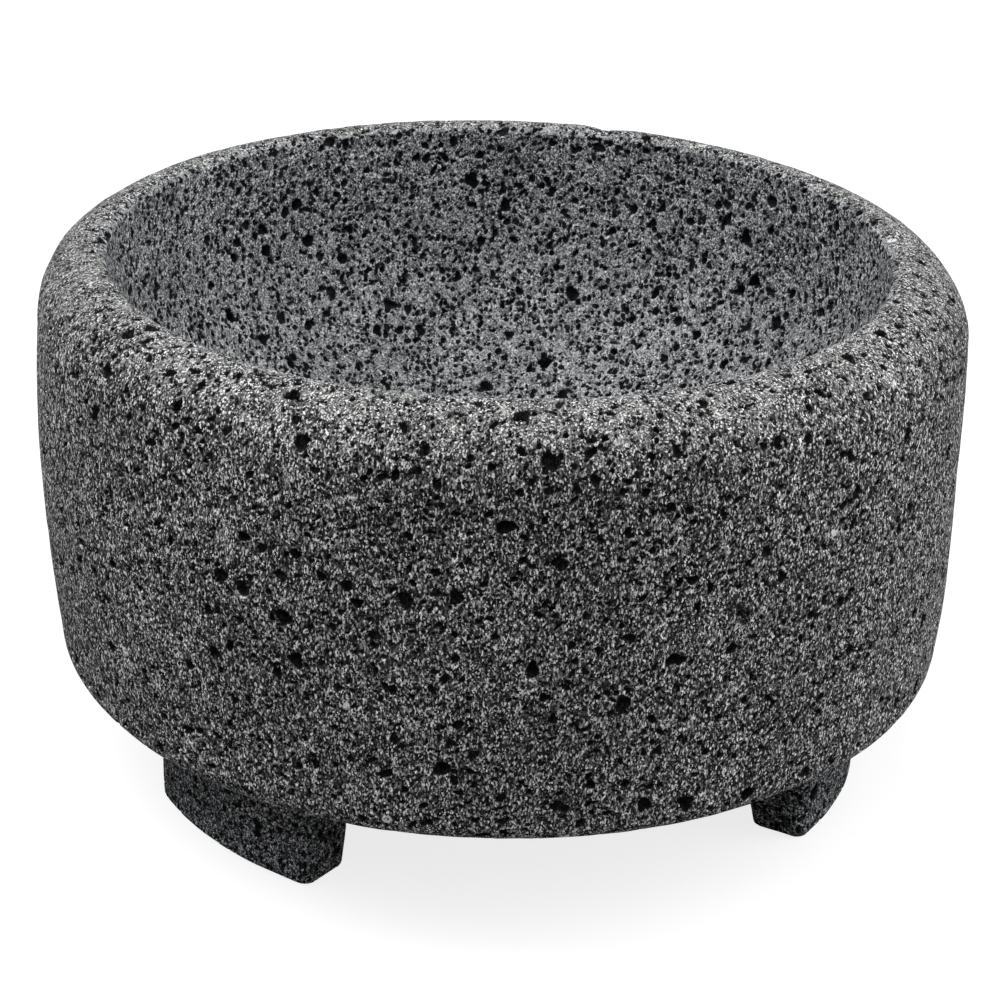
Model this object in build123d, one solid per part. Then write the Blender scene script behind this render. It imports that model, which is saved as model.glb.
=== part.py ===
"""A three-footed stone mortar (molcajete) turned from vesicular basalt.

Millimetres, +Z up. The origin is on the surface the mortar stands on, under the middle
of the bowl. The bowl is one turned solid; each foot is a wedge cut from a turned ring
and grows out of the flat underside of the bowl, so the two meet face to face.
"""

from build123d import *
import os

# ---------------------------------------------------------------- driving dimensions
BOWL_RADIUS = 100.0            # outside radius at the widest level
BELLY_HEIGHT = 80.0            # level of the widest point above the ground
WALL_CURVE_RADIUS = 463.0      # the wall is one very long arc, seen from the side
RIM_HEIGHT = 118.0             # top of the rim above the ground
RIM_ROUND_RADIUS = 14.5        # outside round-over of the rim
UNDERSIDE_HEIGHT = 26.8        # flat underside of the bowl, the same as the foot height
HEEL_ROUND_RADIUS = 6.0        # round between the wall and the underside

BASIN_MOUTH_RADIUS = 83.2      # radius of the crisp inner edge of the rim
BASIN_OFFSET_X = -0.9          # the basin was turned slightly off the outside's axis
BASIN_FLOOR_HEIGHT = 48.0      # lowest point of the basin
BASIN_WALL_LEAN = 4.0          # degrees that the basin wall leans inwards at its top
BASIN_WALL_REACH = 40.0        # how far down the steep part of the basin wall carries
BASIN_FLOOR_REACH = 67.0       # how far out the level part of the floor carries
INNER_EDGE_RADIUS = 2.0        # wear on the inner edge of the rim

FOOT_NAMES = ("foot_left", "foot_right", "foot_rear")
FIRST_FOOT_ANGLE = 223.0       # degrees, centre of the first foot, counter-clockwise from +X
FOOT_HALF_ANGLE = 18.5         # degrees, half the arc that one foot takes of the ring
FOOT_WEDGE_HALF_ANGLE = 11.5   # degrees between an end face and the middle of the foot
SOLE_OUTER_RADIUS = 81.0       # the outer face goes nearly straight down
ROOT_OUTER_RADIUS = 81.6
SOLE_INNER_RADIUS = 68.5
ROOT_INNER_RADIUS = 62.0       # the foot is stouter where it leaves the bowl
SOLE_EDGE_RADIUS = 1.2         # wear on the lower edges of a foot
FOOT_RING_OFFSET_X = 1.6       # the foot ring was turned slightly off the outside's axis


def outside_shape():
    """The turned outside: underside, heel round, bellied wall and rim round-over."""
    wall_centre = BOWL_RADIUS - WALL_CURVE_RADIUS

    def wall_radius(height):
        """Radius of the outside wall at a height, on its one long arc."""
        drop = height - BELLY_HEIGHT
        return wall_centre + (WALL_CURVE_RADIUS**2 - drop**2) ** 0.5

    shoulder_height = RIM_HEIGHT - RIM_ROUND_RADIUS
    shoulder = (wall_radius(shoulder_height), shoulder_height)
    foot_of_wall = (wall_radius(UNDERSIDE_HEIGHT), UNDERSIDE_HEIGHT)
    rim_top = (shoulder[0] - RIM_ROUND_RADIUS, RIM_HEIGHT)

    underside = Line((0, UNDERSIDE_HEIGHT), foot_of_wall)
    wall = ThreePointArc(foot_of_wall, (BOWL_RADIUS, BELLY_HEIGHT), shoulder)
    round_over = RadiusArc(shoulder, rim_top, -RIM_ROUND_RADIUS)
    top = Line(rim_top, (0, RIM_HEIGHT))
    axis_line = Line((0, RIM_HEIGHT), (0, UNDERSIDE_HEIGHT))
    section = make_face([underside, wall, round_over, top, axis_line])

    heel = section.vertices().sort_by_distance(foot_of_wall)[0]
    section = fillet(heel, HEEL_ROUND_RADIUS)
    return revolve(Plane.XZ * section, Axis.Z)


def basin_cutter():
    """The hollow, a steep wall that curves into a nearly level floor."""
    mouth = (BASIN_MOUTH_RADIUS, RIM_HEIGHT)
    lean = Vector(-1, 0).rotate(Axis.Z, 90 - BASIN_WALL_LEAN) * BASIN_WALL_REACH
    steep_end = (mouth[0] + lean.X, mouth[1] + lean.Y)
    floor_start = (BASIN_FLOOR_REACH, BASIN_FLOOR_HEIGHT)
    floor_middle = (0, BASIN_FLOOR_HEIGHT)

    wall = Bezier(mouth, steep_end, floor_start, floor_middle)
    axis_line = Line(floor_middle, (0, RIM_HEIGHT))
    lid = Line((0, RIM_HEIGHT), mouth)
    section = make_face([wall, axis_line, lid])
    return Pos(BASIN_OFFSET_X, 0, 0) * revolve(Plane.XZ * section, Axis.Z)


def make_bowl():
    """The bowl: the turned outside with the basin cut out and its inner edge worn."""
    bowl = outside_shape() - basin_cutter()
    top_circles = bowl.edges().filter_by(GeomType.CIRCLE).filter_by_position(
        Axis.Z, RIM_HEIGHT - 0.01, RIM_HEIGHT + 0.01)
    inner_edge = top_circles.sort_by(SortBy.RADIUS)[0]
    return fillet(inner_edge, INNER_EDGE_RADIUS)


def foot_ring():
    """The turned ring that the feet are cut from, reaching a little into the bowl."""
    overlap = 4.0
    rise = (UNDERSIDE_HEIGHT + overlap) / UNDERSIDE_HEIGHT
    top = UNDERSIDE_HEIGHT + overlap
    outer_top = SOLE_OUTER_RADIUS + (ROOT_OUTER_RADIUS - SOLE_OUTER_RADIUS) * rise
    inner_top = SOLE_INNER_RADIUS + (ROOT_INNER_RADIUS - SOLE_INNER_RADIUS) * rise
    outline = Polyline((SOLE_INNER_RADIUS, 0), (SOLE_OUTER_RADIUS, 0),
                       (outer_top, top), (inner_top, top), close=True)
    return revolve(Plane.XZ * make_face(outline), Axis.Z)


def foot_wedge():
    """A wedge about +X whose two flat sides cut a foot's end faces from the ring."""
    half = FOOT_HALF_ANGLE
    corner = Vector(SOLE_OUTER_RADIUS, 0).rotate(Axis.Z, half)
    slope = Vector(1, 0).rotate(Axis.Z, FOOT_WEDGE_HALF_ANGLE)
    to_apex = corner.Y / slope.Y
    to_far_end = BOWL_RADIUS
    apex = (corner.X - slope.X * to_apex, 0)
    far_left = (corner.X + slope.X * to_far_end, corner.Y + slope.Y * to_far_end)
    far_right = (far_left[0], -far_left[1])
    return extrude(make_face(Polyline(apex, far_right, far_left, close=True)),
                   UNDERSIDE_HEIGHT * 2)


def make_foot(bowl, angle):
    """One foot, cut from the ring about an angle and trimmed to meet the bowl exactly."""
    foot = foot_ring() & foot_wedge()
    sole_edges = foot.edges().filter_by_position(Axis.Z, -0.01, 0.01)
    foot = fillet(sole_edges, SOLE_EDGE_RADIUS)
    placed = Pos(FOOT_RING_OFFSET_X, 0, 0) * (Rot(0, 0, angle) * foot)
    return placed - bowl


os.makedirs("parts", exist_ok=True)

bowl = make_bowl()
bowl.label = "bowl"
export_step(bowl, "parts/bowl.step")

foot_pitch = 360 / len(FOOT_NAMES)
for number, name in enumerate(FOOT_NAMES):
    foot = make_foot(bowl, FIRST_FOOT_ANGLE + foot_pitch * number)
    foot.label = name
    export_step(foot, f"parts/{name}.step")

print("bowl", bowl.bounding_box().size, "volume", round(bowl.volume / 1000), "cm3")
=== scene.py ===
# %% [markdown]
# # A basalt mortar with three feet
#
# A molcajete is one block of vesicular basalt: lava that froze while gas was still bubbling
# out of it. A mason turns the block round, hollows a basin, rounds the rim, turns a ring under
# the base and saws that ring into three feet. Nothing is added afterwards, no coat and no
# lining, so everything a viewer sees is stone: its cut form, the bubbles that each cut opened,
# the grain between them and the pale dust of grinding.
#
# This lesson rebuilds that in the same order: the turned form, the opened bubbles, the feet,
# the stone's finish, and last the light. Every size hangs on the fixed frame loaded here.

# %% The fixed frame
import math

import bpy
import numpy as np
from mathutils import Matrix, Vector


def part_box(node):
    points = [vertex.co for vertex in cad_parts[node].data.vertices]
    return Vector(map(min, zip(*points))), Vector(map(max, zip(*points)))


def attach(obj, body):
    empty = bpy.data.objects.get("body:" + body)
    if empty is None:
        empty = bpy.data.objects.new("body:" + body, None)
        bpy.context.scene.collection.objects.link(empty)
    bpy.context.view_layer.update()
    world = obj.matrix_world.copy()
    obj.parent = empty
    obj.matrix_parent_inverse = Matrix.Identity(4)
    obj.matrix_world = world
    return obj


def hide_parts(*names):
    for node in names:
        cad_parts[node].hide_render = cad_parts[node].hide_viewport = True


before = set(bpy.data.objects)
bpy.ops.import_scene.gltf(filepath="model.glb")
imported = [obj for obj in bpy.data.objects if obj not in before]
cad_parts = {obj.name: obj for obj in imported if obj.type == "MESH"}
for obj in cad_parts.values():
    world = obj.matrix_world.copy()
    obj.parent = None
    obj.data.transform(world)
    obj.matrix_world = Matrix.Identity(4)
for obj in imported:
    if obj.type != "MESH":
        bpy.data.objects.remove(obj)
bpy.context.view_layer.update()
bowl_low, bowl_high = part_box("bowl")

MM = 0.001
BOWL_RADIUS = (bowl_high.x - bowl_low.x) / 2
RIM_HEIGHT = bowl_high.z
UNDERSIDE = bowl_low.z
print(f"bowl radius {BOWL_RADIUS / MM:.1f} mm, rim at {RIM_HEIGHT / MM:.1f} mm,",
      f"underside at {UNDERSIDE / MM:.1f} mm")

# %% [markdown]
# ## The camera
#
# It comes first, because everything after it is judged through it. The picture is taken from
# a little above the table, with a long lens from a short arm's length away, so the mouth is an
# open ellipse and the wall hardly tapers. The camera hangs a degree and a half off level, as a
# hand-held one does.

# %% The camera
PITCH = math.radians(24.73)
ROLL = math.radians(1.6)
AIM = Vector((0.6, 9.7, 53.0)) * MM
DISTANCE = 655.7 * MM
LENS = 104.7

forward = Vector((0.0, math.cos(PITCH), -math.sin(PITCH)))
level_up = Vector((0.0, math.sin(PITCH), math.cos(PITCH)))
level_right = Vector((1.0, 0.0, 0.0))
camera_right = math.cos(ROLL) * level_right + math.sin(ROLL) * level_up
camera_up = math.cos(ROLL) * level_up - math.sin(ROLL) * level_right

camera_data = bpy.data.cameras.new("camera")
camera_data.lens = LENS
camera = bpy.data.objects.new("camera", camera_data)
turn = Matrix((camera_right, camera_up, -forward)).transposed()
camera.matrix_world = Matrix.Translation(AIM - forward * DISTANCE) @ turn.to_4x4()
bpy.context.scene.collection.objects.link(camera)
bpy.context.scene.camera = camera
print("camera at", [round(v, 3) for v in camera.matrix_world.translation])

# %% [markdown]
# ## The turned form
#
# A turned shape is one line swung round an axis. The line here starts under the base, goes
# round the tight heel, up the slightly bellied wall, over the broad rim, round the crisp inner
# edge and down into the basin. A Screw modifier could swing it, but the bubbles have to be cut
# into the surface afterwards along its own normals, so the line is kept as whole arrays of
# points and normals instead, with as many points as the bubbles need.

# %% The outline of the bowl
BELLY_HEIGHT = 80.0 * MM
WALL_CURVE = 463.0 * MM
RIM_ROUND = 14.5 * MM
HEEL_ROUND = 6.0 * MM
MOUTH_RADIUS = 83.2 * MM
FLOOR_HEIGHT = 48.0 * MM
WALL_LEAN = math.radians(4.0)
WALL_REACH = 40.0 * MM
FLOOR_REACH = 67.0 * MM
INNER_EDGE = 2.0 * MM
FINE = 0.45 * MM      # spacing of points where the stone is looked at
COARSE = 2.4 * MM     # spacing under the base, which is hardly seen


def wall_radius(height):
    """Radius of the outside wall: one very long arc whose widest point is the belly."""
    drop = height - BELLY_HEIGHT
    return BOWL_RADIUS - WALL_CURVE + math.sqrt(WALL_CURVE**2 - drop**2)


def stretch(start, end, spacing):
    """Evenly spaced points on a straight line, its end point left for the next stretch."""
    start, end = np.array(start), np.array(end)
    count = max(2, round(float(np.linalg.norm(end - start)) / spacing))
    t = np.linspace(0.0, 1.0, count, endpoint=False)[:, None]
    return start + (end - start) * t


def bow(centre, radius, from_degrees, to_degrees, spacing):
    """Evenly spaced points on an arc: centre + radius * (cos a, sin a)."""
    turned = math.radians(abs(to_degrees - from_degrees))
    count = max(3, round(radius * turned / spacing))
    a = np.radians(np.linspace(from_degrees, to_degrees, count, endpoint=False))
    return np.array(centre) + radius * np.stack([np.cos(a), np.sin(a)], 1)


def basin_line(spacing):
    """The basin from its mouth to its middle: a cubic Bezier curve, spaced by its length."""
    mouth = np.array([MOUTH_RADIUS, RIM_HEIGHT])
    steep = mouth - WALL_REACH * np.array([math.sin(WALL_LEAN), math.cos(WALL_LEAN)])
    level = np.array([FLOOR_REACH, FLOOR_HEIGHT])
    middle = np.array([0.0, FLOOR_HEIGHT])
    t = np.linspace(0.0, 1.0, 4000)[:, None]
    curve = ((1 - t)**3 * mouth + 3 * (1 - t)**2 * t * steep
             + 3 * (1 - t) * t**2 * level + t**3 * middle)
    length = np.concatenate([[0.0], np.cumsum(np.linalg.norm(np.diff(curve, axis=0), axis=1))])
    wanted = np.linspace(0.0, length[-1], round(length[-1] / spacing))
    return np.stack([np.interp(wanted, length, curve[:, k]) for k in (0, 1)], 1)


def bowl_outline():
    """All stretches of the outline in order, and the point number where each one starts."""
    shoulder_height = RIM_HEIGHT - RIM_ROUND
    shoulder_radius = wall_radius(shoulder_height)
    heel_radius = wall_radius(UNDERSIDE + HEEL_ROUND) - HEEL_ROUND
    heights = np.linspace(UNDERSIDE + HEEL_ROUND, shoulder_height,
                          round((shoulder_height - UNDERSIDE - HEEL_ROUND) / FINE),
                          endpoint=False)
    parts = {
        "underside": stretch((0.0, UNDERSIDE), (heel_radius, UNDERSIDE), COARSE),
        "heel": bow((heel_radius, UNDERSIDE + HEEL_ROUND), HEEL_ROUND, -90, 0, FINE),
        "wall": np.array([[wall_radius(h), h] for h in heights]),
        "rim": bow((shoulder_radius - RIM_ROUND, shoulder_height), RIM_ROUND, 0, 90, FINE),
        "basin": basin_line(FINE),
    }
    starts, count = {}, 0
    for part, points in parts.items():
        starts[part] = count
        count += len(points)
    return np.concatenate(list(parts.values())), starts


def eased(points, reach):
    """Rounds the corners of an outline: each point moves to the mean of its neighbours."""
    padded = np.concatenate([np.repeat(points[:1], reach, 0), points,
                             np.repeat(points[-1:], reach, 0)])
    total = np.concatenate([np.zeros((1, 2)), np.cumsum(padded, 0)])
    window = 2 * reach + 1
    return (total[window:] - total[:-window]) / window


outline, part_starts = bowl_outline()
inner_edge_points = round(INNER_EDGE / FINE)
edge_row = part_starts["basin"]
near_edge = slice(edge_row - 2 * inner_edge_points, edge_row + 2 * inner_edge_points + 1)
outline[near_edge] = eased(outline, inner_edge_points)[near_edge]
print("outline of", len(outline), "points, parts start at", part_starts)

# %% [markdown]
# ## The bubbles
#
# A vesicle in basalt is a round hole, and the mason's cut goes through it anywhere, so the
# holes on the surface come in all widths, and neighbours run together. Scattering dents on the
# surface would need a rule for every one of those effects. Here the bubbles fill space
# instead, one to each cube of a lattice, and the surface simply sinks to the far side of any
# bubble that it passes through. Bowl and feet are then cut from the same stone.

# %% Bubbles in space
BLOCK_LOW = np.array([-BOWL_RADIUS, -BOWL_RADIUS, 0.0])
BLOCK_SIZE = np.array([2 * BOWL_RADIUS, 2 * BOWL_RADIUS, RIM_HEIGHT])
LIP_SOFTNESS = 0.30
WARP = 0.42 * MM
WARP_SIZE = 4.0 * MM


def wobble(points, size, waves, seed):
    """Smooth unevenness, mostly within -1 to 1.

    The sum of plane sine waves, each in its own random direction with its own length near
    size, divided by the square root of their number.
    """
    dice = np.random.default_rng(seed)
    way = dice.normal(size=(waves, 3))
    way /= np.linalg.norm(way, axis=1)[:, None]
    way *= (2 * math.pi / size * dice.uniform(0.6, 1.5, waves))[:, None]
    phase = dice.uniform(0.0, 2 * math.pi, waves)
    return np.sin(points @ way.T + phase).sum(-1) / math.sqrt(waves)


def bubble_field(cell, smallest, largest, rarity, seed):
    """One bubble to each cube of a lattice, its middle anywhere in the cube.

    Radius = smallest + (largest - smallest) * u ** rarity, with u evenly random, so a higher
    rarity makes the large ones rarer.
    """
    dice = np.random.default_rng(seed)
    counts = np.ceil(BLOCK_SIZE / cell).astype(int) + 4
    corners = np.stack(np.meshgrid(*[np.arange(n) for n in counts], indexing="ij"), -1)
    middles = (corners + dice.random(corners.shape) - 2) * cell + BLOCK_LOW
    radii = smallest + (largest - smallest) * dice.random(tuple(counts)) ** rarity
    return {"cell": cell, "middles": middles, "radii": radii, "counts": counts}


def opened(points, inward, field):
    """How deep the stone is missing below each point, where the surface cuts a bubble.

    With d from the point to the bubble's middle and b its share along the inward normal, the
    inward ray leaves the sphere at b + sqrt(b^2 - |d|^2 + r^2). The depth is eased in from the
    lip by a smooth step of 1 - |d|^2 / r^2. The deepest of the 27 nearest bubbles counts.
    """
    home = np.floor((points - BLOCK_LOW) / field["cell"]).astype(int) + 2
    depth = np.zeros(len(points))
    for step in np.ndindex(3, 3, 3):
        cube = np.clip(home + np.array(step) - 1, 0, field["counts"] - 1)
        index = tuple(cube.T)
        radius = field["radii"][index]
        to_middle = field["middles"][index] - points
        far2 = (to_middle**2).sum(-1)
        along = (to_middle * inward).sum(-1)
        inside = 1.0 - far2 / radius**2
        eased_in = np.clip(inside / LIP_SOFTNESS, 0.0, 1.0)
        eased_in = eased_in**2 * (3 - 2 * eased_in)
        leaves = along + np.sqrt(np.maximum(along**2 - far2 + radius**2, 0.0))
        depth = np.maximum(depth, eased_in * leaves)
    return depth


bubble_fields = [
    bubble_field(5.4 * MM, 0.6 * MM, 1.75 * MM, 2.2, seed=11),
    bubble_field(2.5 * MM, 0.45 * MM, 0.95 * MM, 1.2, seed=12),
    bubble_field(1.6 * MM, 0.30 * MM, 0.58 * MM, 1.0, seed=13),
]
print("bubbles in the block:", [int(f["counts"].prod()) for f in bubble_fields])

# %% [markdown]
# Hand work is uneven too. The wall wavers by a few tenths of a millimetre, and the rim has lost
# a few flakes, most of them off its crisp inner edge. Both only take stone away. Below the
# belly the stone was turned a millimetre towards the right foot and its base slopes by a third
# of a degree. The wall draws in there, so the visible stone still never stands outside the
# frame's box.
#
# A flake leaves a shallow scoop, so each one is a ball that the surface has to stay clear of.

# %% Hand unevenness and lost flakes
WAVER = 0.35 * MM
WAVER_SIZE = 60.0 * MM
TOOL_WAVER = 0.10 * MM
TOOL_SIZE = 9.0 * MM
BASIN_OFFSET = -0.9 * MM
SKEW = 1.2 * MM                                # to the right, full at the heel
SKEW_TOP, SKEW_BOTTOM = 76.0 * MM, 32.0 * MM
BASE_SLOPE = 0.006                             # rise of the base for each step to the right
FLAKE_LIFT, FLAKE_REACH = 0.55, 0.3            # an edge ball's middle, in shares of its radius
EDGE_FLAKES = ((91.0, 4.0), (74.0, 3.6), (131.0, 3.0), (203.0, 2.6), (318.0, 3.0), (12.0, 2.4))


def edge_flake(degrees, radius):
    """A ball hung a little above the inner edge of the rim, where it takes a corner off."""
    a, reach = math.radians(degrees), MOUTH_RADIUS + FLAKE_REACH * radius
    return (BASIN_OFFSET + reach * math.cos(a), reach * math.sin(a),
            RIM_HEIGHT + FLAKE_LIFT * radius), radius


def crown_flake(degrees, radius, depth, rise=65.0):
    """A ball that dips to a depth into the round-over of the rim, rise degrees up its arc."""
    a, up = math.radians(degrees), math.radians(rise)
    shoulder = RIM_HEIGHT - RIM_ROUND
    out = RIM_ROUND + radius - depth
    reach = wall_radius(shoulder) - RIM_ROUND + out * math.cos(up)
    return (reach * math.cos(a), reach * math.sin(a), shoulder + out * math.sin(up)), radius


flakes = [edge_flake(degrees, radius * MM) for degrees, radius in EDGE_FLAKES]
flakes += [
    crown_flake(90.8, radius=1.5 * MM, depth=1.3 * MM),             # a nick
    crown_flake(74.0, radius=16.0 * MM, depth=1.7 * MM),            # a long shallow chip
    crown_flake(242.0, radius=7.0 * MM, depth=0.9 * MM, rise=40.0),
]


def flake_depth(points, inward):
    """Stone lost where a flake broke off: how far inwards the surface moves to clear a ball."""
    depth = np.zeros(len(points))
    for middle, radius in flakes:
        to_middle = np.array(middle) - points
        along = (to_middle * inward).sum(-1)
        inside = radius**2 - (to_middle**2).sum(-1)
        way_out = along + np.sqrt(np.maximum(along**2 + inside, 0.0))
        depth = np.maximum(depth, np.where(inside > 0, way_out, 0.0))
    return depth


def skewed(points):
    """The form as it came off the lathe, its lower part a little aside and aslope.

    With s a smooth step from 0 at the skew's top to 1 at its bottom, x grows by skew * s and z
    by slope * x * s.
    """
    down = np.clip((SKEW_TOP - points[..., 2]) / (SKEW_TOP - SKEW_BOTTOM), 0.0, 1.0)
    share = down**2 * (3 - 2 * down)
    moved = points.copy()
    moved[..., 0] += SKEW * share
    moved[..., 2] += BASE_SLOPE * points[..., 0] * share
    return moved


def weathered(points, normals):
    """The plain form's points sunk into real stone, and how deep each one lies in a bubble."""
    flat_points = points.reshape(-1, 3)
    inward = -normals.reshape(-1, 3)
    waver = wobble(flat_points, WAVER_SIZE, waves=12, seed=31)
    tooling = wobble(flat_points, TOOL_SIZE, waves=16, seed=32)
    warp = np.stack([wobble(flat_points, WARP_SIZE, waves=8, seed=33 + axis)
                     for axis in range(3)], -1)
    lost = (WAVER * (0.5 + 0.5 * np.clip(waver, -1, 1))
            + TOOL_WAVER * (0.5 + 0.5 * np.clip(tooling, -1, 1)))
    looked_up = flat_points + WARP * warp
    bubble = np.max([opened(looked_up, inward, field) for field in bubble_fields], axis=0)
    broken = flake_depth(flat_points, inward)
    sunk = lost + np.maximum(bubble, broken)
    moved = flat_points + inward * sunk[:, None]
    return moved.reshape(points.shape), bubble.reshape(points.shape[:-1])


# %% [markdown]
# ## From a grid to a closed mesh
#
# Every stone piece is a grid of points: rows along an outline, columns round it. Where a row
# shrinks to a point or two edges meet, several grid points fall on one place and have to
# become one vertex, or the seam would stay open. One helper does this for bowl and feet. It
# also stores each point's bubble depth, which the finish reads to paint shade into the holes,
# and a flat map of the stone.

# %% Mesh helpers
WELD = 1e-7
CAP_PLACE = 0.001         # corner of the flat map where every hidden cut face lies


def face_rows(ids):
    """The grid's quads as corner numbers, with a mask that drops a corner equal to the next."""
    quads = np.stack([ids[:-1, :-1], ids[:-1, 1:], ids[1:, 1:], ids[1:, :-1]], -1)
    keep = quads != np.roll(quads, -1, axis=-1)
    return quads, keep


def surface_normals(points):
    """Unit normals of a grid: its change along the columns crossed with that along the rows."""
    across = np.gradient(points, axis=1)
    down = np.gradient(points, axis=0)
    normal = np.cross(across, down)
    length = np.linalg.norm(normal, axis=-1, keepdims=True)
    return normal / np.maximum(length, 1e-15)


def stone_piece(name, points, normals, pore, flat_map, caps=(), basin_row=None):
    """A closed mesh from a grid of points, with its normals, bubble depths and flat map.

    flat_map holds for every quad the place of its four corners on the map. caps are further
    faces, each a list of grid points. Rows from basin_row on take the second finish.
    """
    rows, columns = points.shape[:2]
    keys = np.round(points.reshape(-1, 3) / WELD).astype(np.int64)
    _, first, welded = np.unique(keys, axis=0, return_index=True, return_inverse=True)
    ids = welded.reshape(rows, columns)
    quads, keep = face_rows(ids)
    quads, keep = quads.reshape(-1, 4), keep.reshape(-1, 4)
    real = keep.sum(-1) > 2
    faces = [face[kept].tolist() if not kept.all() else face.tolist()
             for face, kept in zip(quads[real], keep[real])]
    cap_faces = [welded.ravel()[cap].tolist() for cap in caps]

    mesh = bpy.data.meshes.new(name)
    mesh.from_pydata(points.reshape(-1, 3)[first], [], faces + cap_faces)
    mesh.update()
    mesh.shade_smooth()

    layer = mesh.uv_layers.new(name="OFBake")
    places = np.full((len(mesh.loops), 2), CAP_PLACE)
    mapped = flat_map.reshape(-1, 4, 2)[real][keep[real]]
    places[:len(mapped)] = mapped
    layer.data.foreach_set("uv", places.astype(np.float32).ravel())

    depth = mesh.attributes.new("pore_depth", "FLOAT", "POINT")
    depth.data.foreach_set("value", pore.reshape(-1)[first].astype(np.float32))
    mesh.normals_split_custom_set_from_vertices(normals.reshape(-1, 3)[first])

    if basin_row is not None:
        row_of_face = np.repeat(np.arange(rows - 1), columns - 1)[real]
        finish = np.zeros(len(mesh.polygons), np.int32)
        finish[:len(row_of_face)] = row_of_face >= basin_row
        mesh.polygons.foreach_set("material_index", finish)

    piece = bpy.data.objects.new(name, mesh)
    bpy.context.scene.collection.objects.link(piece)
    return piece

# %% [markdown]
# ## The bowl in eight slices
#
# A mesh fine enough to hold every hole over a millimetre wide is heavy, about a million
# points for the bowl. One piece of that weight is clumsy to unwrap, save and thin, so the bowl
# is stored like a cut cake, in eight closed slices. Neighbours share their border points and
# their normals exactly, so no line shows where they meet; the cut faces lie inside the stone.

# %% Slicing the bowl
SLICES = 8
COLUMNS = 168
COLUMN_ANGLE = 2 * math.pi / (SLICES * COLUMNS)
MAP_SIDE = 166.0 * MM     # side of the square that one slice's flat map fills
MAP_GAP = 2.0 * MM
UNDERSIDE_MAP_SCALE = 0.62


def outline_normals(points):
    """Outward normals of the outline: its direction turned a quarter to the right."""
    way = np.gradient(points, axis=0)
    normals = np.stack([way[:, 1], -way[:, 0]], 1)
    normals[0], normals[-1] = (0.0, -1.0), (0.0, 1.0)
    return normals / np.linalg.norm(normals, axis=1, keepdims=True)


def basin_share(points):
    """0 on the outside, easing to 1 over the rim: how far the basin's own axis counts."""
    rows = np.arange(len(points))
    t = np.clip((rows - part_starts["rim"]) / (part_starts["basin"] - part_starts["rim"]), 0, 1)
    return t**2 * (3 - 2 * t)


def swung(points, normals, angles):
    """The outline swung round: (centre + r cos a, r sin a, z), with its normals alike."""
    cos, sin = np.cos(angles)[None, :], np.sin(angles)[None, :]
    radius, height = points[:, :1], points[:, 1:]
    middle = BASIN_OFFSET * basin_share(points)[:, None]
    level = np.ones_like(cos)
    place = np.stack([middle + radius * cos, radius * sin, height * level], -1)
    facing = np.stack([normals[:, :1] * cos, normals[:, :1] * sin, normals[:, 1:] * level], -1)
    return place, facing


def slice_map(points, angles):
    """Flat map of a slice, cut at the heel, the inner edge and nowhere else.

    Each chart is laid out by its true length along the outline and its true width round the
    axis, so a hole keeps its size and shape on the map.
    """
    length = np.concatenate([[0.0], np.cumsum(np.linalg.norm(np.diff(points, axis=0), axis=1))])
    middle_angle = angles.mean()
    half_width = BOWL_RADIUS * (angles[-1] - middle_angle)
    side_height = length[edge_row] - length[part_starts["wall"]]
    charts = (
        # first row, end row, left-right middle, bottom, scale
        (0, part_starts["wall"], half_width, side_height + 2 * MAP_GAP, UNDERSIDE_MAP_SCALE),
        (part_starts["wall"], edge_row, half_width, MAP_GAP, 1.0),
        (edge_row, len(points) - 1, 3 * half_width + MAP_GAP, MAP_GAP, 1.0),
    )
    places = np.zeros((len(points) - 1, len(angles) - 1, 4, 2))
    for first, end, across, bottom, scale in charts:
        x = across + MAP_GAP + scale * points[first:end + 1, :1] * (angles - middle_angle)[None]
        y = bottom + scale * (length[first:end + 1] - length[first])[:, None] + 0 * x
        grid = np.stack([x, y], -1) / MAP_SIDE
        places[first:end] = np.stack([grid[:-1, :-1], grid[:-1, 1:],
                                      grid[1:, 1:], grid[1:, :-1]], 2)
    return places


def cut_faces(rows, columns):
    """The two flat faces of a slice, as grid points in order, each facing out of the slice."""
    first = [row * columns for row in range(rows)]
    last = [row * columns + columns - 1 for row in reversed(range(rows))]
    return first, last


normals_of_outline = outline_normals(outline)
bowl_slices = []
for number in range(SLICES):
    steps = np.arange(number * COLUMNS - 1, (number + 1) * COLUMNS + 2)
    place, facing = swung(outline, normals_of_outline, steps * COLUMN_ANGLE)
    place, pore = weathered(skewed(place), facing)
    shading = surface_normals(place)
    shading[0], shading[-1] = (0, 0, -1), (0, 0, 1)
    inner = slice(1, -1)
    angles = steps[inner] * COLUMN_ANGLE
    piece = stone_piece(f"bowl_slice_{number + 1}", place[:, inner], shading[:, inner],
                        pore[:, inner], slice_map(outline, angles),
                        cut_faces(len(outline), len(angles)), basin_row=edge_row)
    bowl_slices.append(piece)
print("bowl slices:", [len(piece.data.polygons) for piece in bowl_slices])

# %% [markdown]
# ## The feet
#
# Each foot is a short length of a turned ring with its two ends sawn off flat. Swinging an
# outline would give the ring but not the ends, and a boolean cut would leave long thin faces
# that can't hold holes. So the foot is a rounded rectangle that is bent round the ring's axis,
# stacked from inside the bowl down to the sole, and closed along the middle of the sole. Just
# under the bowl it flares a little, as the turning tool leaves it.

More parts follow.
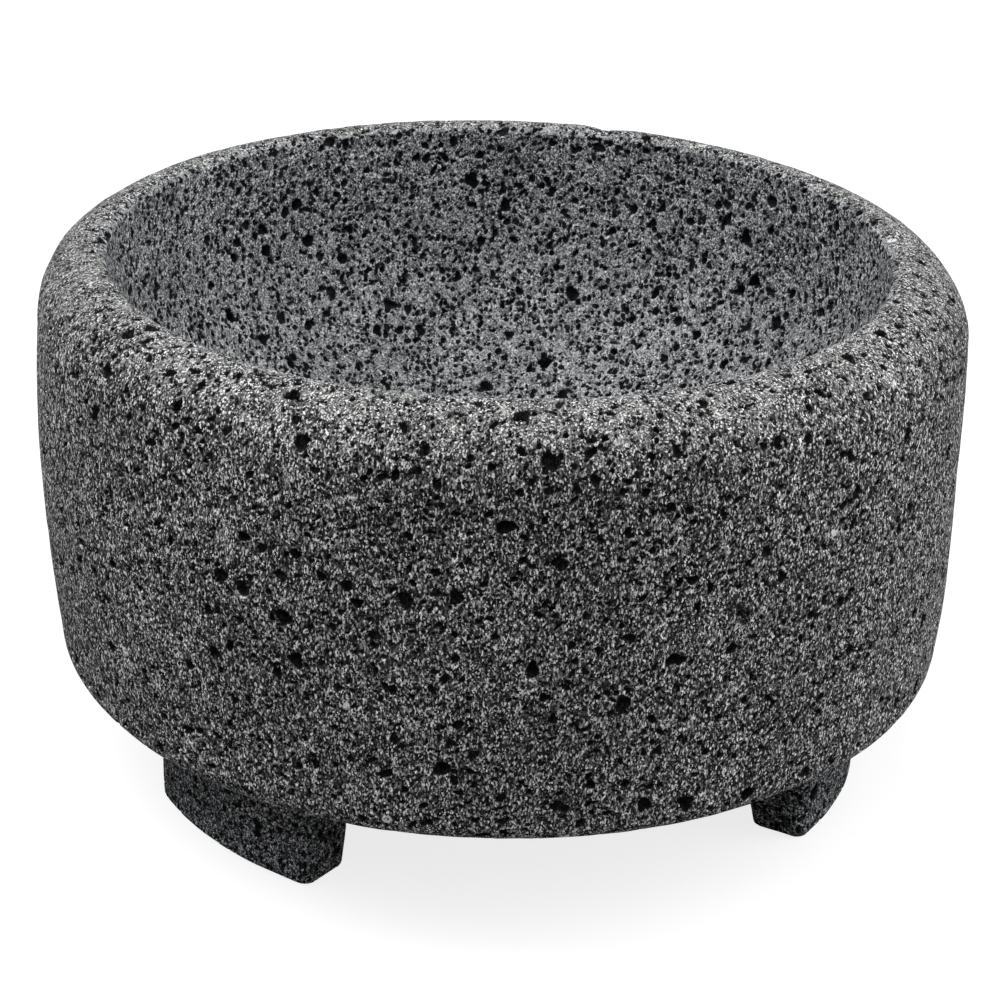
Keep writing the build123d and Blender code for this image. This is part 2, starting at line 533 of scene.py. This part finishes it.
# %% Making a foot
FOOT_ANGLES = {"foot_left": 223.0, "foot_right": 343.0, "foot_rear": 103.0}
FOOT_HALF_ANGLE = math.radians(18.5)
WEDGE_HALF_ANGLE = math.radians(11.5)
SOLE_OUTER, ROOT_OUTER = 81.0 * MM, 81.6 * MM
SOLE_INNER, ROOT_INNER = 68.5 * MM, 62.0 * MM
RING_OFFSET = 1.6 * MM
UPRIGHT_ROUND = 2.4 * MM      # round of the four upright edges
SOLE_ROUND = 1.2 * MM
ROOT_FLARE = 3.0 * MM
SOLE_ROUND_STEPS = 4
ROOT_DEPTH = 6.0 * MM         # how far the foot reaches up inside the bowl
HALF_WIDTH = (SOLE_OUTER - SOLE_INNER) / 2
HALF_LENGTH = (SOLE_OUTER + SOLE_INNER) / 2 * FOOT_HALF_ANGLE


def rounded_rectangle(half_length, half_width, corner, spacing):
    """A closed loop of points, and for each the point of the middle line that it faces.

    Two straight sides and two straight ends joined by quarter circles, counter-clockwise.
    """
    straight, end = half_length - corner, half_width - corner
    sides = [
        stretch((-straight, -half_width), (straight, -half_width), spacing),
        bow((straight, -end), corner, -90, 0, spacing),
        stretch((half_length, -end), (half_length, end), spacing),
        bow((straight, end), corner, 0, 90, spacing),
        stretch((straight, half_width), (-straight, half_width), spacing),
        bow((-straight, end), corner, 90, 180, spacing),
        stretch((-half_length, end), (-half_length, -end), spacing),
        bow((-straight, -end), corner, 180, 270, spacing),
    ]
    loop = np.concatenate(sides)
    reach = half_length - half_width
    middle = np.stack([np.clip(loop[:, 0], -reach, reach), np.zeros(len(loop))], 1)
    return loop, middle


def bent(flat, height):
    """Bends flat points (along the foot, through its thickness) round the ring's axis.

    Through the thickness goes to a radius between the inner and the outer face, which both
    lean with height. Along the foot goes to an angle; the sawn end is a straight line through
    the sole's outer corner, so at radius q it lies at w + asin(k / q) from the middle, where w
    is half the wedge's angle and k the line's distance from the axis.
    """
    rise = height / UNDERSIDE
    inner = SOLE_INNER + (ROOT_INNER - SOLE_INNER) * rise
    outer = SOLE_OUTER + (ROOT_OUTER - SOLE_OUTER) * rise
    radius = (inner + outer) / 2 + (outer - inner) / 2 * flat[..., 1] / HALF_WIDTH
    miss = SOLE_OUTER * math.sin(FOOT_HALF_ANGLE - WEDGE_HALF_ANGLE)
    angle = (WEDGE_HALF_ANGLE + np.arcsin(miss / radius)) * flat[..., 0] / HALF_LENGTH
    return np.stack([radius * np.cos(angle), radius * np.sin(angle), height + 0 * angle], -1)


foot_loop, foot_middle = rounded_rectangle(HALF_LENGTH, HALF_WIDTH, UPRIGHT_ROUND, FINE)
foot_loop = np.concatenate([foot_loop, foot_loop[:1]])
foot_middle = np.concatenate([foot_middle, foot_middle[:1]])


def foot_form():
    """The plain foot about +X, as a grid from its top seam over its sides to its sole seam."""
    way_out = foot_loop - foot_middle
    way_out /= np.linalg.norm(way_out, axis=1, keepdims=True)
    top = UNDERSIDE + ROOT_DEPTH
    inset_steps = np.linspace(1.0, 0.0, round(HALF_WIDTH / (2 * FINE)), endpoint=False)
    heights = np.linspace(top, SOLE_ROUND, round((top - SOLE_ROUND) / FINE))
    turn_steps = np.radians(np.linspace(0, 90, SOLE_ROUND_STEPS + 1)[1:])
    sole_steps = np.linspace(0.0, 1.0, round(HALF_WIDTH / FINE))[1:]

    rows = []
    for share in inset_steps:                          # the hidden top
        rows.append(bent(foot_loop + (foot_middle - foot_loop) * share, top))
    for height in heights:                             # the sides, flared under the bowl
        up = np.clip(height - (UNDERSIDE - ROOT_FLARE), 0.0, ROOT_FLARE)
        flare = ROOT_FLARE - math.sqrt(ROOT_FLARE**2 - up**2)
        rows.append(bent(foot_loop + way_out * flare, height))
    for a in turn_steps:                               # the rounded lower edge
        inset = SOLE_ROUND * (1 - math.cos(a))
        rows.append(bent(foot_loop - way_out * inset, SOLE_ROUND * (1 - math.sin(a))))
    sole_loop = foot_loop - way_out * SOLE_ROUND
    for share in sole_steps:                           # the sole, closed on its middle line
        rows.append(bent(sole_loop + (foot_middle - sole_loop) * share, 0.0))
    return np.array(rows)


def foot_map(rows):
    """Flat map of a foot: its sides as one strip, its top and sole folded out above and below."""
    across = np.concatenate([[0.0], np.cumsum(
        np.linalg.norm(np.diff(foot_loop, axis=0), axis=1))])
    x = np.broadcast_to(across / across[-1], (rows, len(across)))
    y = np.broadcast_to(np.linspace(0.99, 0.01, rows)[:, None], x.shape)
    grid = np.stack([0.01 + 0.98 * x, y], -1)
    return np.stack([grid[:-1, :-1], grid[:-1, 1:], grid[1:, 1:], grid[1:, :-1]], 2)


def turned_about_z(points, angle):
    """Points or directions turned about the Z axis."""
    c, s = math.cos(angle), math.sin(angle)
    return points @ np.array([[c, s, 0.0], [-s, c, 0.0], [0.0, 0.0, 1.0]])


def closed_normals(points):
    """Surface normals of a grid whose last column is its first again."""
    ringed = np.concatenate([points[:, -2:-1], points, points[:, 1:2]], axis=1)
    return surface_normals(ringed)[:, 1:-1]


plain_foot = foot_form()
plain_normals = closed_normals(plain_foot)
feet = []
for name, degrees in FOOT_ANGLES.items():
    angle = math.radians(degrees)
    place = turned_about_z(plain_foot, angle) + np.array([RING_OFFSET, 0.0, 0.0])
    facing = turned_about_z(plain_normals, angle)
    place, pore = weathered(place, facing)
    foot = stone_piece(f"{name}_stone", place, closed_normals(place), pore,
                       foot_map(len(place)))
    feet.append(foot)
print("feet:", [len(foot.data.polygons) for foot in feet])

# %% [markdown]
# ## The finish
#
# Dry basalt has no coat. What the eye reads as its colour is a mix at a scale of tenths of a
# millimetre: charcoal glass, pale feldspar grains that catch the light, pin-sized bubbles too
# small for the mesh, whose shade is painted into the colour, and grey rock flour that the
# grinding leaves on whatever faces up, which also stands in for painted light from above. Each
# of those is a small node group with its own inputs, so that the wall, the basin and the sawn
# feet can mix the same ingredients differently. They all read the object's own coordinates, so
# the pattern is solid, as it is in stone.

# %% Node helpers
def add(tree, kind, inputs=None, **settings):
    """Adds a node; an input given as a socket is linked, any other value is set."""
    made = tree.nodes.new(kind)
    for key, value in settings.items():
        setattr(made, key, value)
    for key, value in (inputs or {}).items():
        if isinstance(value, bpy.types.NodeSocket):
            tree.links.new(value, made.inputs[key])
        else:
            made.inputs[key].default_value = value
    return made


def maths(tree, operation, first, second=0.0, clamp=False):
    """One Math node; gives its output socket."""
    return add(tree, "ShaderNodeMath", {0: first, 1: second}, operation=operation,
               use_clamp=clamp).outputs[0]


def ramp(tree, value, low, high, to_low=0.0, to_high=1.0):
    """A smooth step of value from low..high to to_low..to_high; gives its output socket."""
    return add(tree, "ShaderNodeMapRange", {
        "Value": value, "From Min": low, "From Max": high, "To Min": to_low,
        "To Max": to_high}, interpolation_type="SMOOTHSTEP").outputs["Result"]


def mixed(tree, share, first, second, blend="MIX"):
    """One colour Mix node; gives its output socket. Its colour sockets are 6, 7 and output 2."""
    return add(tree, "ShaderNodeMix", {0: share, 6: first, 7: second}, data_type="RGBA",
               blend_type=blend).outputs[2]


def new_group(name, inputs, outputs):
    """An empty node group with named float or vector inputs and outputs."""
    group = bpy.data.node_groups.new(name, "ShaderNodeTree")
    for label, kind, value in inputs:
        socket = group.interface.new_socket(label, in_out="INPUT", socket_type=kind)
        if value is not None:
            socket.default_value = value
    for label in outputs:
        group.interface.new_socket(label, in_out="OUTPUT", socket_type="NodeSocketFloat")
    return group, group.nodes.new("NodeGroupInput"), group.nodes.new("NodeGroupOutput")


def use(tree, group, inputs):
    """Places a group in a material."""
    return add(tree, "ShaderNodeGroup", inputs, node_tree=group)


FLOAT, VECTOR = "NodeSocketFloat", "NodeSocketVector"

# %% [markdown]
# Pinholes are the bubbles below a millimetre. A Voronoi texture gives one random point to each
# cell; a hole is whatever lies nearer to that point than a radius drawn from the cell's own
# colour, so some cells have a wide hole and some none. The coordinates are stirred with noise
# first, because round holes of one kind would look drilled.

# %% The pinhole group
pinholes, pin_in, pin_out = new_group(
    "pinholes",
    [("Vector", VECTOR, None), ("Holes per metre", FLOAT, 900.0), ("Narrowest", FLOAT, 0.0),
     ("Widest", FLOAT, 0.5), ("Lip", FLOAT, 0.12)],
    ["Hole"])
stir = add(pinholes, "ShaderNodeTexNoise", {
    "Vector": pin_in.outputs["Vector"], "Detail": 1.0,
    "Scale": maths(pinholes, "MULTIPLY", pin_in.outputs["Holes per metre"], 0.8)})
stir_reach = maths(pinholes, "DIVIDE", 0.9, pin_in.outputs["Holes per metre"])
stir_middle = add(pinholes, "ShaderNodeVectorMath",
                  {0: stir.outputs["Color"], 1: (0.5, 0.5, 0.5)}, operation="SUBTRACT")
stir_scaled = add(pinholes, "ShaderNodeVectorMath",
                  {0: stir_middle.outputs[0], "Scale": stir_reach}, operation="SCALE")
stirred = add(pinholes, "ShaderNodeVectorMath",
              {0: pin_in.outputs["Vector"], 1: stir_scaled.outputs[0]})
cells = add(pinholes, "ShaderNodeTexVoronoi", {
    "Vector": stirred.outputs[0], "Scale": pin_in.outputs["Holes per metre"]})
draw = add(pinholes, "ShaderNodeSeparateColor", {"Color": cells.outputs["Color"]})
hole_radius = ramp(pinholes, draw.outputs["Red"], 0.0, 1.0, pin_in.outputs["Narrowest"],
                   pin_in.outputs["Widest"])
lip_end = maths(pinholes, "SUBTRACT", hole_radius, pin_in.outputs["Lip"])
hole = ramp(pinholes, cells.outputs["Distance"], lip_end, hole_radius, 1.0, 0.0)
pinholes.links.new(hole, pin_out.inputs["Hole"])

# %% [markdown]
# Under a lens the solid rock is crystals a third of a millimetre across, each with its own
# brightness, so the grain group draws one random value per Voronoi cell and adds a soft noise
# for the height of the broken surface. Flecks are the rare pale feldspars: cells whose random
# colour is near one, kept only near the cell's middle. Flour lies where the surface faces up,
# thinned by a soft noise. Because it follows the way the surface faces, it is partly real rock
# flour and partly painted light from above.

# %% The grain, fleck and flour groups, the flour also painting light from above
grain, grain_in, grain_out = new_group(
    "grain", [("Vector", VECTOR, None), ("Crystals per metre", FLOAT, 3100.0),
              ("Lumps per metre", FLOAT, 800.0)],
    ["Crystal", "Lump", "Mottle"])
lump_noise = add(grain, "ShaderNodeTexNoise", {
    "Vector": grain_in.outputs["Vector"], "Scale": grain_in.outputs["Lumps per metre"],
    "Detail": 3.0, "Roughness": 0.7})
crystal_shift = add(grain, "ShaderNodeVectorMath",
                    {0: lump_noise.outputs["Color"], "Scale": 0.5 * MM}, operation="SCALE")
crystal_place = add(grain, "ShaderNodeVectorMath",
                    {0: grain_in.outputs["Vector"], 1: crystal_shift.outputs[0]})
crystals = add(grain, "ShaderNodeTexVoronoi", {
    "Vector": crystal_place.outputs[0], "Scale": grain_in.outputs["Crystals per metre"]})
crystal_draw = add(grain, "ShaderNodeSeparateColor", {"Color": crystals.outputs["Color"]})
mottle_noise = add(grain, "ShaderNodeTexNoise", {
    "Vector": grain_in.outputs["Vector"], "Scale": 45.0, "Detail": 3.0, "Roughness": 0.55})
grain.links.new(crystal_draw.outputs["Blue"], grain_out.inputs["Crystal"])
grain.links.new(lump_noise.outputs["Fac"], grain_out.inputs["Lump"])
grain.links.new(mottle_noise.outputs["Fac"], grain_out.inputs["Mottle"])

flecks, fleck_in, fleck_out = new_group(
    "flecks", [("Vector", VECTOR, None), ("Per metre", FLOAT, 1500.0), ("Rarity", FLOAT, 0.95),
               ("Radius", FLOAT, 0.5)],
    ["Fleck"])
fleck_cells = add(flecks, "ShaderNodeTexVoronoi", {
    "Vector": fleck_in.outputs["Vector"], "Scale": fleck_in.outputs["Per metre"]})
fleck_draw = add(flecks, "ShaderNodeSeparateColor", {"Color": fleck_cells.outputs["Color"]})
fleck_on = maths(flecks, "GREATER_THAN", fleck_draw.outputs["Green"], fleck_in.outputs["Rarity"])
fleck_near = ramp(flecks, fleck_cells.outputs["Distance"],
                  maths(flecks, "MULTIPLY", fleck_in.outputs["Radius"], 0.7),
                  fleck_in.outputs["Radius"], 1.0, 0.0)
flecks.links.new(maths(flecks, "MULTIPLY", fleck_on, fleck_near), fleck_out.inputs["Fleck"])

# Partly painted top light: the flour layer lies where the surface faces up, so it also lightens stone
# by how it faces the light from above.
flour_and_top_light, flour_and_top_light_in, flour_and_top_light_out = new_group(
    "flour_and_top_light", [("Vector", VECTOR, None), ("Steepest", FLOAT, 0.1), ("Flattest", FLOAT, 1.0),
              ("Amount", FLOAT, 0.5)], ["Flour"])
facing_up = add(flour_and_top_light, "ShaderNodeSeparateXYZ",
                {0: add(flour_and_top_light, "ShaderNodeNewGeometry").outputs["Normal"]})
flour_and_top_light_noise = add(flour_and_top_light, "ShaderNodeTexNoise", {
    "Vector": flour_and_top_light_in.outputs["Vector"], "Scale": 320.0, "Detail": 3.0})
flour_and_top_light_lies = ramp(flour_and_top_light, facing_up.outputs["Z"], flour_and_top_light_in.outputs["Steepest"],
                  flour_and_top_light_in.outputs["Flattest"])
flour_and_top_light_thins = ramp(flour_and_top_light, flour_and_top_light_noise.outputs["Fac"], 0.3, 0.75)
flour_and_top_light.links.new(maths(flour_and_top_light, "MULTIPLY", maths(flour_and_top_light, "MULTIPLY", flour_and_top_light_lies, flour_and_top_light_thins),
                      flour_and_top_light_in.outputs["Amount"]), flour_and_top_light_out.inputs["Flour"])
print("node groups:", [group.name for group in bpy.data.node_groups])

# %% [markdown]
# One function mixes them into a finish. Colour is charcoal, lightened by grain, flecks and
# flour, which is partly real rock flour and partly painted light on stone that faces up, and
# darkened by painted shade in every hole, the meshed ones by their stored depth. The heights of
# grain and pinholes add up to one relief in metres for a single Bump node. Crystals are
# smoother than the rock round them, which is what makes them wink as the view turns.

# %% Mixing the finishes
# Painted shade in the holes: every hole's colour is darkened towards near black, the meshed ones by
# their stored depth.
PORE_SHADE_FROM, PORE_SHADE_DEPTH = 0.06 * MM, 0.42 * MM
PIN_DEPTH = 0.40 * MM
PRICK_DEPTH = 0.18 * MM
PRICKS_PER_PIN, PRICK_SHADE_STRENGTH = 2.1, 0.85
HOLE_SHADE_STRENGTH = 0.97
FLECK_STRENGTH, FLECK_SMOOTHNESS = 0.85, 0.45
FLOUR_AND_TOP_LIGHT_COVER = 0.5         # how far a full layer of flour and painted top light hides the stone's own colour
LUMP_SHADES, MOTTLE_SHADES = (0.5, 1.5), (0.85, 1.12)
ROUGHNESS = 0.92
LUMP_HEIGHT = 0.30 * MM
HOLE_SHADE_COLOUR = (0.003, 0.003, 0.004, 1.0)
FELDSPAR = (0.80, 0.79, 0.76, 1.0)
FLOUR_AND_TOP_LIGHT_SOFTENING = 0.6     # share of the crystals' contrast that a full layer of flour and painted top light hides


def basalt(name, dark, light, crystal_power, flour_and_top_light_colour, flour_and_top_light_amount, flour_and_top_light_slopes,
           pins_per_metre, widest_pin, crystals_per_metre=3100.0, drawn_out=1.0):
    """A basalt finish: crystals' colours and contrast, flour with painted top light, pinholes with
    painted shade.

    The crystals' even random values are raised to crystal_power, so a higher power makes most
    of them dark and a few bright. The tool leaves the grain drawn_out times as tall as wide.
    """
    material = bpy.data.materials.new(name)
    material.use_nodes = True
    tree = material.node_tree
    shader = tree.nodes["Principled BSDF"]
    shader.inputs["Specular IOR Level"].default_value = 0.10
    where = add(tree, "ShaderNodeTexCoord").outputs["Object"]

    pins = use(tree, pinholes, {"Vector": where, "Holes per metre": pins_per_metre,
                                "Narrowest": 0.0, "Widest": widest_pin,
                                "Lip": 0.10}).outputs["Hole"]
    pricks = use(tree, pinholes, {"Vector": where, "Holes per metre": pins_per_metre * PRICKS_PER_PIN,
                                  "Narrowest": 0.1, "Widest": 0.5, "Lip": 0.2}).outputs["Hole"]
    along_the_cut = add(tree, "ShaderNodeVectorMath",
                        {0: where, 1: (1.0, 1.0, 1.0 / drawn_out)}, operation="MULTIPLY")
    stone = use(tree, grain, {"Vector": along_the_cut.outputs[0],
                              "Crystals per metre": crystals_per_metre})
    fine = use(tree, flecks, {"Vector": where}).outputs["Fleck"]
    broad = use(tree, flecks, {"Vector": where, "Per metre": 95.0, "Rarity": 0.90,
                               "Radius": 0.12}).outputs["Fleck"]
    fleck = maths(tree, "MAXIMUM", fine, broad)
    # Flour on up-facing stone: partly real rock flour, partly painted light from above.
    dust_and_top_light = use(tree, flour_and_top_light, {"Vector": where, "Amount": flour_and_top_light_amount,
                             "Steepest": flour_and_top_light_slopes[0],
                             "Flattest": flour_and_top_light_slopes[1]}).outputs["Flour"]

    # Where shade is painted into the holes: the deeper meshed holes, the pinholes and the pricks.
    stored = add(tree, "ShaderNodeAttribute", attribute_name="pore_depth").outputs["Fac"]
    deep_shade = ramp(tree, stored, PORE_SHADE_FROM, PORE_SHADE_DEPTH)
    hole_shade = maths(tree, "MAXIMUM", deep_shade, maths(tree, "MAXIMUM", pins,
                                               maths(tree, "MULTIPLY", pricks,
                                                     PRICK_SHADE_STRENGTH)))

    softened = crystal_power * FLOUR_AND_TOP_LIGHT_SOFTENING
    power = maths(tree, "SUBTRACT", crystal_power, maths(tree, "MULTIPLY", dust_and_top_light, softened))
    lightness = maths(tree, "POWER", stone.outputs["Crystal"], power)
    lightness = maths(tree, "MULTIPLY", lightness,
                      ramp(tree, stone.outputs["Lump"], 0.3, 0.7, *LUMP_SHADES), clamp=True)
    colour = mixed(tree, lightness, (*dark, 1.0), (*light, 1.0))
    mottle = ramp(tree, stone.outputs["Mottle"], 0.3, 0.7, *MOTTLE_SHADES)
    colour = mixed(tree, 1.0, colour,
                   add(tree, "ShaderNodeCombineColor",
                       {"Red": mottle, "Green": mottle, "Blue": mottle}).outputs[0], "MULTIPLY")
    # Mixes in the flour colour: real rock flour and painted top light together.
    colour = mixed(tree, maths(tree, "MULTIPLY", dust_and_top_light, FLOUR_AND_TOP_LIGHT_COVER), colour, (*flour_and_top_light_colour, 1.0))
    colour = mixed(tree, maths(tree, "MULTIPLY", fleck, FLECK_STRENGTH), colour, FELDSPAR)
    # Painted shade: darkens every hole towards near black.
    colour = mixed(tree, maths(tree, "MULTIPLY", hole_shade, HOLE_SHADE_STRENGTH), colour, HOLE_SHADE_COLOUR)
    tree.links.new(colour, shader.inputs["Base Color"])

    rough = maths(tree, "SUBTRACT", ROUGHNESS, maths(tree, "MULTIPLY", fleck, FLECK_SMOOTHNESS))
    tree.links.new(rough, shader.inputs["Roughness"])

    relief = maths(tree, "MULTIPLY", stone.outputs["Lump"], LUMP_HEIGHT)
    relief = maths(tree, "SUBTRACT", relief, maths(tree, "MULTIPLY", pins, PIN_DEPTH))
    relief = maths(tree, "SUBTRACT", relief, maths(tree, "MULTIPLY", pricks, PRICK_DEPTH))
    bump = add(tree, "ShaderNodeBump", {"Height": relief, "Distance": 1.0, "Strength": 1.0})
    tree.links.new(bump.outputs["Normal"], shader.inputs["Normal"])
    return material


turned_basalt = basalt("basalt_turned", dark=(0.014, 0.014, 0.015), light=(0.95, 0.95, 0.95),
                       crystal_power=3.9, flour_and_top_light_colour=(0.50, 0.50, 0.485), flour_and_top_light_amount=0.6,
                       flour_and_top_light_slopes=(0.1, 1.0), pins_per_metre=1150.0, widest_pin=0.49,
                       crystals_per_metre=3500.0, drawn_out=1.8)
ground_basalt = basalt("basalt_ground", dark=(0.034, 0.036, 0.039), light=(0.62, 0.635, 0.65),
                       crystal_power=2.3, flour_and_top_light_colour=(0.54, 0.55, 0.56), flour_and_top_light_amount=0.62,
                       flour_and_top_light_slopes=(0.05, 0.55), pins_per_metre=760.0, widest_pin=0.56)
sawn_basalt = basalt("basalt_sawn", dark=(0.010, 0.012, 0.014), light=(0.60, 0.61, 0.63),
                     crystal_power=3.4, flour_and_top_light_colour=(0.20, 0.20, 0.20), flour_and_top_light_amount=0.1,
                     flour_and_top_light_slopes=(0.1, 1.0), pins_per_metre=850.0, widest_pin=0.54)

# %% [markdown]
# Now the stone goes on its body. The slices together stand for the bowl in the frame, and each
# foot for its own.

# %% Putting the pieces in the frame
for piece in bowl_slices:
    piece.data.materials.append(turned_basalt)
    piece.data.materials.append(ground_basalt)
    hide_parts("bowl")
    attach(piece, "root")
for foot, node in zip(feet, FOOT_ANGLES):
    foot.data.materials.append(sawn_basalt)
    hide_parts(node)
    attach(foot, "root")
print("pieces:", [piece.name for piece in bowl_slices + feet])

# %% [markdown]
# ## Floor and light
#
# The mortar stands on a light table: a matt floor that glows for the camera only, so it shows
# plain white and still lights the stone no more than pale grey paper would. Square soft boxes
# hang round it. The strongest is high on the left, weaker ones are in front and on the right,
# and one low on the right lifts the wall there. The weak one overhead leaves the rim the
# brightest band. The room is an even grey for the light and white for the camera.

# %% The floor
FLOOR_SIDE = 6.0
FLOOR_GREY = 0.30
FLOOR_GLOW = 0.80
half = FLOOR_SIDE / 2
floor_mesh = bpy.data.meshes.new("floor")
floor_mesh.from_pydata([(-half, -half, 0), (half, -half, 0), (half, half, 0), (-half, half, 0)],
                       [], [(0, 1, 2, 3)])
floor = bpy.data.objects.new("floor", floor_mesh)
bpy.context.scene.collection.objects.link(floor)
table = bpy.data.materials.new("light_table")
table.use_nodes = True
table_shader = table.node_tree.nodes["Principled BSDF"]
table_shader.inputs["Base Color"].default_value = (FLOOR_GREY, FLOOR_GREY, FLOOR_GREY, 1.0)
table_shader.inputs["Roughness"].default_value = 0.9
table_shader.inputs["Specular IOR Level"].default_value = 0.0
table_shader.inputs["Emission Color"].default_value = (1.0, 1.0, 1.0, 1.0)
seen = add(table.node_tree, "ShaderNodeLightPath").outputs["Is Camera Ray"]
table.node_tree.links.new(maths(table.node_tree, "MULTIPLY", seen, FLOOR_GLOW),
                          table_shader.inputs["Emission Strength"])
floor_mesh.materials.append(table)


# %% The lights
def soft_box(name, degrees_round, degrees_up, watts, side=0.7, distance=1.2):
    """A square area light facing the bowl, placed by its bearing from the front and its height."""
    bearing, rise = math.radians(degrees_round), math.radians(degrees_up)
    way = Vector((math.sin(bearing) * math.cos(rise), -math.cos(bearing) * math.cos(rise),
                  math.sin(rise)))
    data = bpy.data.lights.new(name, "AREA")
    data.size, data.energy = side, watts
    lamp = bpy.data.objects.new(name, data)
    lamp.location = Vector((0.0, 0.0, (RIM_HEIGHT + UNDERSIDE) / 2)) + way * distance
    lamp.rotation_euler = (-way).to_track_quat("-Z", "Y").to_euler()
    bpy.context.scene.collection.objects.link(lamp)


soft_box("overhead", 0, 90, watts=1.7)
soft_box("front_high", 0, 50, watts=3.8)
soft_box("left_high", 270, 50, watts=9.6)
soft_box("right_high", 90, 50, watts=4.6)
soft_box("right_low", 90, 20, watts=5.3)

ROOM_LIGHT, ROOM_SEEN = 0.28, 1.0
world = bpy.data.worlds.new("room")
world.use_nodes = True
backdrop = world.node_tree.nodes["Background"]
backdrop.inputs["Color"].default_value = (1.0, 1.0, 1.0, 1.0)
seen = add(world.node_tree, "ShaderNodeLightPath").outputs["Is Camera Ray"]
room_light = ramp(world.node_tree, seen, 0.0, 1.0, ROOM_LIGHT, ROOM_SEEN)
world.node_tree.links.new(room_light, backdrop.inputs["Strength"])
bpy.context.scene.world = world
bpy.context.scene.view_settings.view_transform = "Standard"
